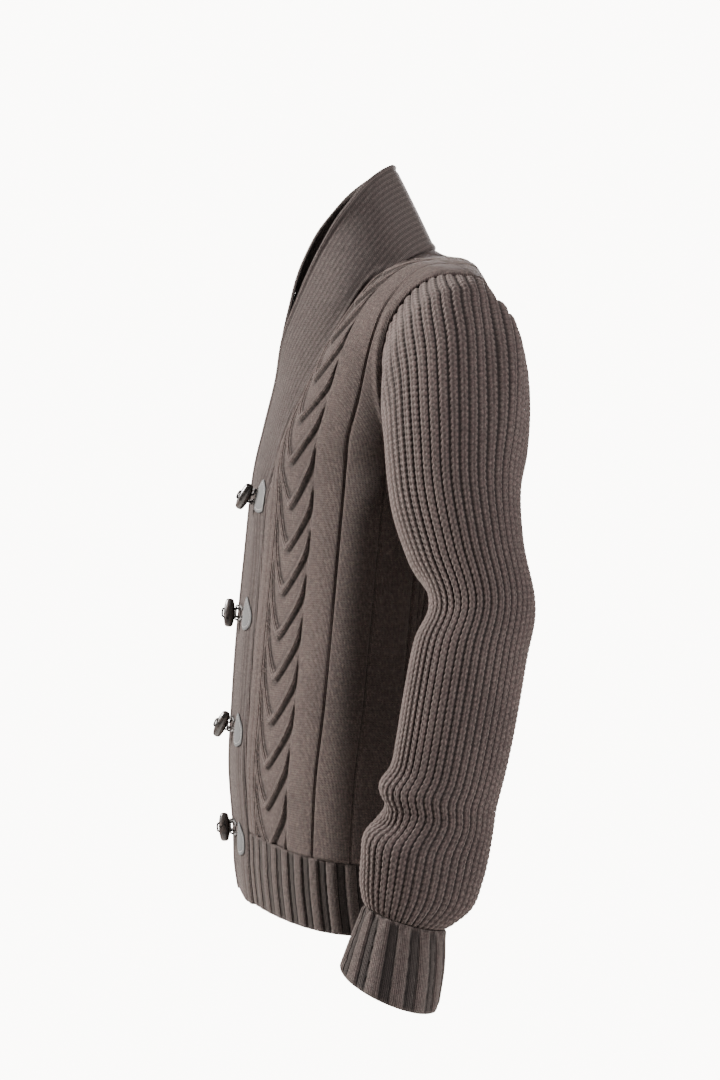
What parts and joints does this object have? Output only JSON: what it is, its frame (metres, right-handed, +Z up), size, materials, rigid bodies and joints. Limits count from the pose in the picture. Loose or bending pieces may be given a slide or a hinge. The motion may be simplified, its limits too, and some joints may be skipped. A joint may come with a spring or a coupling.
{
  "type": "shawl collar cardigan",
  "caption": "Worn, hollow knitted cardigan with a shawl collar, cabled fronts, chunky ribbed set-in sleeves, ribbed cuffs and hem, and toggle fastenings held by cord loops.",
  "frame": {"origin": "the nape: the middle of the back neck seam, where the wearer's neck and shoulders hold the garment up", "axes": "the garment faces -Y, the wearer's left is +X and +Z is up"},
  "size_m": [0.676, 0.2738, 0.82],
  "materials": {
    "body_knit": "matte wool knit with cables",
    "sleeve_knit": "matte chunky wool rib",
    "collar_knit": "matte fine wool rib",
    "rib_knit": "matte wide wool rib",
    "leather": "matte grained",
    "horn": "polished horn",
    "cord": "matte round cord"
  },
  "bodies": {
    "root": {"back": "body_knit", "front_left": "body_knit", "front_right": "body_knit", "upper_sleeve_left": "sleeve_knit", "upper_sleeve_right": "sleeve_knit", "lower_sleeve_left": "sleeve_knit", "lower_sleeve_right": "sleeve_knit", "collar_left": "collar_knit", "collar_right": "collar_knit", "hem_back": "rib_knit", "hem_front_left": "rib_knit", "hem_front_right": "rib_knit", "cuff_left": "rib_knit", "cuff_right": "rib_knit", "toggle_1": "horn", "toggle_cord_1": "cord", "loop_1": "cord", "patch_left_1": "leather", "patch_right_1": "leather", "toggle_2": "horn", "toggle_cord_2": "cord", "loop_2": "cord", "patch_left_2": "leather", "patch_right_2": "leather", "toggle_3": "horn", "toggle_cord_3": "cord", "loop_3": "cord", "patch_left_3": "leather", "patch_right_3": "leather", "toggle_4": "horn", "toggle_cord_4": "cord", "loop_4": "cord", "patch_left_4": "leather", "patch_right_4": "leather"}
  },
  "joints": []
}
